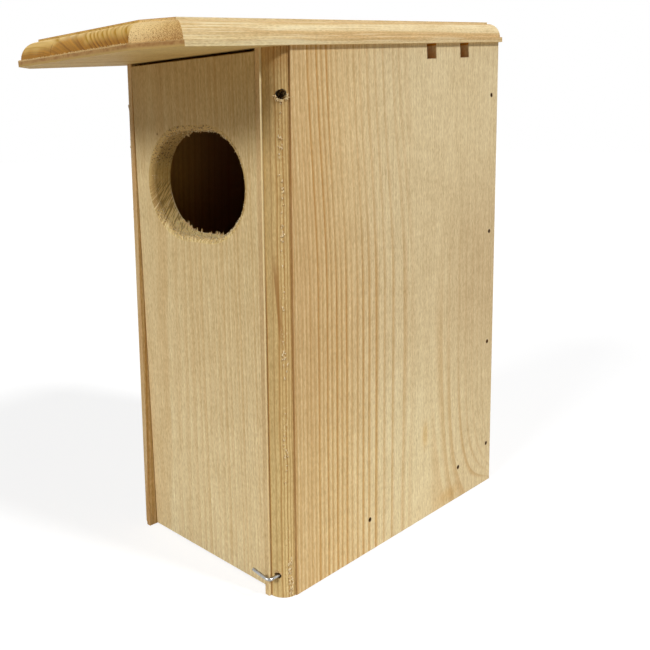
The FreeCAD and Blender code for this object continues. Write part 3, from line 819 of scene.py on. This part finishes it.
def slivers(name, body, rows, material):
    """One piece of many closed spikes. Each row: root, direction, outward normal, length, width, lift."""
    points, faces = [], []
    for root, along, out, length, width, lift in rows:
        side = along.cross(out).normalized() * width / 2
        foot = root - out * SINK
        middle = root + along * length * 0.5 + out * lift * 0.35
        rise = out * width * 0.55
        k = len(points)
        points += [foot - side, foot + side, foot + rise + out * SINK]
        points += [middle - side * 0.7, middle + side * 0.7, middle + rise]
        points.append(root + along * length + out * lift)
        faces.append((k, k + 1, k + 2))
        for i, j in ((0, 1), (1, 2), (2, 0)):
            faces.append((k + j, k + i, k + 3 + i, k + 3 + j))
            faces.append((k + 3 + j, k + 3 + i, k + 6))
    add_piece(name, body, points, faces, material)


def hang(point):
    """A point of the upright door, moved to the door as it hangs."""
    y, z = point.y - PIVOT_Y, point.z - PIVOT_Z
    c, s = math.cos(TILT), math.sin(TILT)
    return Vector((point.x, PIVOT_Y + y * c - z * s, PIVOT_Z + y * s + z * c))


def hang_all(rows):
    """Rows of slivers on the upright door, moved to the door as it hangs."""
    moved = []
    for root, along, out, *sizes in rows:
        start = hang(root)
        moved.append((start, hang(root + along) - start, hang(root + out) - start, *sizes))
    return moved


def entrance_spot(angle, depth):
    """Point and normal on a round entrance's wall, without the straight stretches; depth is from the front,
    and its first part is the rounded rim."""
    out = Vector((math.cos(angle), 0.0, math.sin(angle)))
    if depth < HOLE_ROUND:
        turn = math.asin(1.0 - depth / HOLE_ROUND)
    else:
        turn = 0.0
    reach = HOLE_R + HOLE_ROUND * (1.0 - math.cos(turn))
    point = out * reach + Vector((HOLE_X, FRONT_Y + depth, HOLE_Z))
    normal = -out * math.cos(turn) + Vector((0.0, -math.sin(turn), 0.0))
    return point, normal


def entrance_point(draw, depth):
    """A drawn place on the entrance's wall, the straight stretches included."""
    straight = 2 * HOLE_REACH / (2 * HOLE_REACH + math.pi * HOLE_R)
    if draw.random() < straight:
        angle = math.copysign(math.pi / 2, draw.random() - 0.5)
        shift = draw.uniform(-HOLE_REACH, HOLE_REACH)
    else:
        angle = draw.uniform(-math.pi, math.pi)
        shift = math.copysign(HOLE_REACH, math.cos(angle))
    point, normal = entrance_spot(angle, depth)
    return point + Vector((shift, 0.0, 0.0)), normal


def jitter(draw, amount):
    """A drawn vector of up to amount each way along each axis."""
    return Vector([draw.uniform(-amount, amount) for axis in range(3)])


def flat_on(normal, vector):
    """The direction of a vector laid flat on the face with that normal."""
    return (vector - normal * vector.dot(normal)).normalized()


def entrance_fuzz(draw):
    """Short fibres standing on the rim and wall below, where they cut across the grain."""
    rows = []
    while len(rows) < FUZZ_COUNT:
        depth = draw.uniform(0.2, 17.0) if draw.random() < 0.35 else draw.uniform(0.15, HOLE_ROUND + 1.0)
        point, normal = entrance_point(draw, depth)
        rise = (point.z - HOLE_Z) / HOLE_R
        chance = 0.9 if rise < -0.55 else 0.12 + 0.15 * abs(rise)
        if draw.random() > chance:
            continue
        along = (normal * 0.5 + Vector((0, -0.6, -0.2)) + jitter(draw, 0.5)).normalized()
        out = flat_on(along, normal)
        length = draw.uniform(0.7, 2.0) * (0.55 + abs(rise) * 0.5)
        rows.append((point, along, out, length, draw.uniform(0.35, 0.75), 0.0))
    return hang_all(rows)


def entrance_splinters(draw):
    """Broken fibres along the inner edge, above and below."""
    rows = []
    for up in (1, -1):
        for i in range(SPLINTER_COUNT):
            x = draw.uniform(-HOLE_REACH - 24.0, HOLE_REACH + 20.0)
            bend = max(abs(x) - HOLE_REACH, 0.0)
            z = math.sqrt(HOLE_R ** 2 - bend ** 2) * up
            root = Vector((HOLE_X + x, FRONT_Y + BOARD - draw.uniform(0.3, 0.9), HOLE_Z + z))
            along = Vector((draw.uniform(-0.2, 0.2), draw.uniform(-0.1, 0.25), -up)).normalized()
            length = draw.uniform(0.7, 2.0) + (1.8 if draw.random() < 0.25 else 0.0)
            rows.append((root, along, Vector((0, -1, 0)), length, draw.uniform(0.7, 1.5), 0.0))
    return hang_all(rows)


def round_spot(side, turn, z):
    """Point and normal on a side board's quarter round; turn is from the front."""
    normal = Vector((side * math.sin(turn), -math.cos(turn), 0.0))
    return Vector((side * ROUND_X, ROUND_Y, z)) + normal * ROUND_R, normal


def edge_flecks(draw, side):
    """Torn flecks on a side board's round, in runs along the grain, thickest at its foot."""
    rows = []
    for high, low, count, line in FLECK_RUNS:
        for i in range(count):
            turn = math.radians(line + draw.triangular(-9.0, 9.0, 0.0))
            point, normal = round_spot(side, turn, draw.uniform(low, high))
            along = flat_on(normal, Vector((0, 0, draw.choice((-1.0, 1.0)))) + jitter(draw, 0.25))
            proud = draw.uniform(0.4, 1.0) * (1.0 if side > 0 else 0.3)
            rows.append((point, along, normal, draw.uniform(1.0, 2.6), draw.uniform(0.7, 1.4), proud))
    return rows


def pivot_chips(draw, side):
    """Ragged mouth of the pivot screw's counterbore: fibres turned back below it and one long splinter across
    the quirk."""
    rows = []
    for i in range(PIVOT_CHIPS):
        angle = draw.uniform(1.02, 2.02) * math.pi
        away = draw.uniform(3.0, 4.3)
        y, z = PIVOT_Y + away * math.cos(angle), PIVOT_Z + away * math.sin(angle)
        turn = math.acos((ROUND_Y - y) / ROUND_R)
        point, normal = round_spot(side, turn, z)
        outward = Vector((0, math.cos(angle), math.sin(angle) - 0.3)) + jitter(draw, 0.8)
        along = flat_on(normal, outward)
        proud = draw.uniform(0.4, 1.3) * (1.0 if side > 0 else 0.2)
        rows.append((point, along, normal, draw.uniform(0.9, 2.4), draw.uniform(0.6, 1.4), proud))
    if side > 0:
        point, normal = round_spot(side, math.radians(80.0), PIVOT_Z - 2.4)
        rows.append((point, Vector((0, 0.97, 0.22)), Vector((side, 0, 0)), 4.6, 1.2, 2.5))
    return rows


def hook_chips(draw):
    """Torn wood above the hook's hole."""
    rows = []
    for i in range(HOOK_CHIPS):
        angle = draw.uniform(0.15, 0.95) * math.pi
        x, z = HOOK_X + HOOK_CHIP_R * math.cos(angle), HOOK_Z + HOOK_CHIP_R * math.sin(angle)
        turn = math.asin((x - ROUND_X) / ROUND_R)
        point, normal = round_spot(1, turn, z)
        along = flat_on(normal, Vector((0, 0, 1)) + jitter(draw, 0.5))
        length, width = draw.uniform(1.0, 2.4), draw.uniform(0.5, 1.0)
        rows.append((point, along, normal, length, width, draw.uniform(0.2, 0.7)))
    return rows


def roof_corners():
    """The lip's outer corners along the front, from the left edge to the right, flat on the roof's plane."""
    half, front = ROOF_HALF, -ROOF_LENGTH
    return [(-half, front + CLIP_Y), (-half + CLIP_X, front), (half - CLIP_X, front), (half, front + CLIP_Y)]


def on_roof(x, y, height):
    """A place on the flat roof board, pitched and lifted as the roof is."""
    c, s = math.cos(PITCH), math.sin(PITCH)
    return Vector((x, BACK_Y + y * c - height * s, BACK_HEIGHT + y * s + height * c))


def lip_fibres(draw):
    """Fibres torn up along the roof lip's top edge, across the front and both clipped corners."""
    rows = []
    corners = roof_corners()
    for (x0, y0), (x1, y1) in zip(corners, corners[1:]):
        run = math.hypot(x1 - x0, y1 - y0)
        tangent = Vector(((x1 - x0) / run, (y1 - y0) / run, 0.0))
        outward = Vector((tangent.y, -tangent.x, 0.0))
        for i in range(int(run * LIP_FIBRES_PER_MM)):
            t = draw.random()
            x, y = x0 + (x1 - x0) * t, y0 + (y1 - y0) * t
            inset = draw.uniform(0.05, 0.5)
            point = on_roof(x - outward.x * inset, y - outward.y * inset, LIP)
            along = Vector((0, 0, 0.8)) + outward * draw.uniform(-0.3, 0.5)
            along = (along + tangent * draw.uniform(-0.7, 0.7)).normalized()
            out = flat_on(along, outward)
            rows.append((point, along, out, draw.uniform(0.35, 1.0), draw.uniform(0.3, 0.6), 0.0))
    return rows


slivers("entrance_fuzz", "door", entrance_fuzz(random.Random(3)), fuzz)
slivers("entrance_splinters", "door", entrance_splinters(random.Random(5)), torn)
slivers("edge_flecks_right", "box", edge_flecks(random.Random(8), 1), fleck)
slivers("edge_flecks_left", "box", edge_flecks(random.Random(9), -1), fleck)
slivers("pivot_chips_right", "box", pivot_chips(random.Random(12), 1), fleck)
slivers("pivot_chips_left", "box", pivot_chips(random.Random(14), -1), fleck)
slivers("hook_chips", "box", hook_chips(random.Random(17)), torn)
slivers("lip_fibres", "box", lip_fibres(random.Random(21)), lip_torn)

# Camera, fitted to the photograph
FOCAL_PX = 784.6825
FRAME_PX = 650.0
CENTRE_PX = (251.9667, 239.7165)
CAMERA_AT = Vector((0.447754, -0.451911, 0.330646))
YAW, DOWN, ROLL = (math.radians(v) for v in (46.7336, 8.0072, -1.2373))
SENSOR = 36.0

ahead = Vector((-math.sin(YAW) * math.cos(DOWN), math.cos(YAW) * math.cos(DOWN), -math.sin(DOWN)))
right = Vector((math.cos(YAW), math.sin(YAW), 0.0))
up = right.cross(ahead)
turned_right = right * math.cos(ROLL) + up * math.sin(ROLL)
turned_up = up * math.cos(ROLL) - right * math.sin(ROLL)
camera = bpy.data.objects.new("camera", bpy.data.cameras.new("camera"))
bpy.context.scene.collection.objects.link(camera)
axes = Matrix((turned_right, turned_up, -ahead)).transposed()
camera.matrix_world = Matrix.Translation(CAMERA_AT) @ axes.to_4x4()
camera.data.sensor_width = SENSOR
camera.data.lens = FOCAL_PX * SENSOR / FRAME_PX
camera.data.shift_x = (FRAME_PX / 2 - CENTRE_PX[0]) / FRAME_PX
camera.data.shift_y = (CENTRE_PX[1] - FRAME_PX / 2) / FRAME_PX
camera.data.clip_start = 0.01
camera.data.clip_end = 50.0
bpy.context.scene.camera = camera

# Light: a broad lamp in front, a second from the right and behind, and a little light from the room
WHITE = (1.0, 1.0, 1.0)
ROOM_LIGHT = 0.02
# each lamp: degrees round from the front, degrees up, strength, and its width in degrees
LAMPS = {"front_lamp": (3.0, 32.0, 1.72, 18.0), "right_lamp": (108.0, 44.0, 2.2, 10.0)}

for name, (around, height, strength, spread) in LAMPS.items():
    turn, rise = math.radians(around), math.radians(height)
    toward = Vector((math.sin(turn) * math.cos(rise), -math.cos(turn) * math.cos(rise), math.sin(rise)))
    lamp = bpy.data.objects.new(name, bpy.data.lights.new(name, "SUN"))
    lamp.data.energy = strength
    lamp.data.angle = math.radians(spread)
    lamp.rotation_mode = "QUATERNION"
    lamp.rotation_quaternion = toward.to_track_quat("Z", "Y")
    bpy.context.scene.collection.objects.link(lamp)


def mix_seen(g, plain, shown, output):
    """The plain shader for light on the object, the shown one for what is seen straight or reflected."""
    path = g.tree.nodes.new("ShaderNodeLightPath")
    seen = 0.0
    for kind in ("Is Camera Ray", "Is Glossy Ray", "Is Transmission Ray"):
        seen = g.most(seen, path.outputs[kind])
    chosen = g.add("ShaderNodeMixShader", {0: seen, 1: plain, 2: shown})
    g.add(output, {"Surface": chosen})


world = bpy.data.worlds.new("room")
room = Graph(world)
lit = room.add("ShaderNodeBackground", {"Color": WHITE, "Strength": ROOM_LIGHT})
shown = room.add("ShaderNodeBackground", {"Color": WHITE, "Strength": 1.0})
mix_seen(room, lit, shown, "ShaderNodeOutputWorld")
bpy.context.scene.world = world

# Floor: pale, with the object's shadow
FLOOR_HALF = 8.0
FLOOR_COLOUR = (0.56, 0.49, 0.39)
FLOOR_SHOWN = (0.34, 0.34, 0.34)
FLOOR_GLOW = 0.79
FLOOR_UNDER_BOX = 0.0004

mesh = bpy.data.meshes.new("floor")
corners = [(x * FLOOR_HALF, y * FLOOR_HALF, 0.0) for x, y in ((-1, -1), (1, -1), (1, 1), (-1, 1))]
mesh.from_pydata(corners, [], [(0, 1, 2, 3)])
floor = bpy.data.objects.new("floor", mesh)
floor.location.z = -FLOOR_UNDER_BOX
bpy.context.scene.collection.objects.link(floor)
pale = bpy.data.materials.new("pale_floor")
ground = Graph(pale)
paint = ground.add("ShaderNodeBsdfDiffuse", {"Color": FLOOR_COLOUR})
white = ground.add("ShaderNodeBsdfDiffuse", {"Color": FLOOR_SHOWN})
glow = ground.add("ShaderNodeEmission", {"Strength": FLOOR_GLOW})
bright = ground.add("ShaderNodeAddShader", {0: white, 1: glow})
mix_seen(ground, paint, bright, "ShaderNodeOutputMaterial")
floor.data.materials.append(pale)

bpy.context.scene.view_settings.view_transform = "Standard"
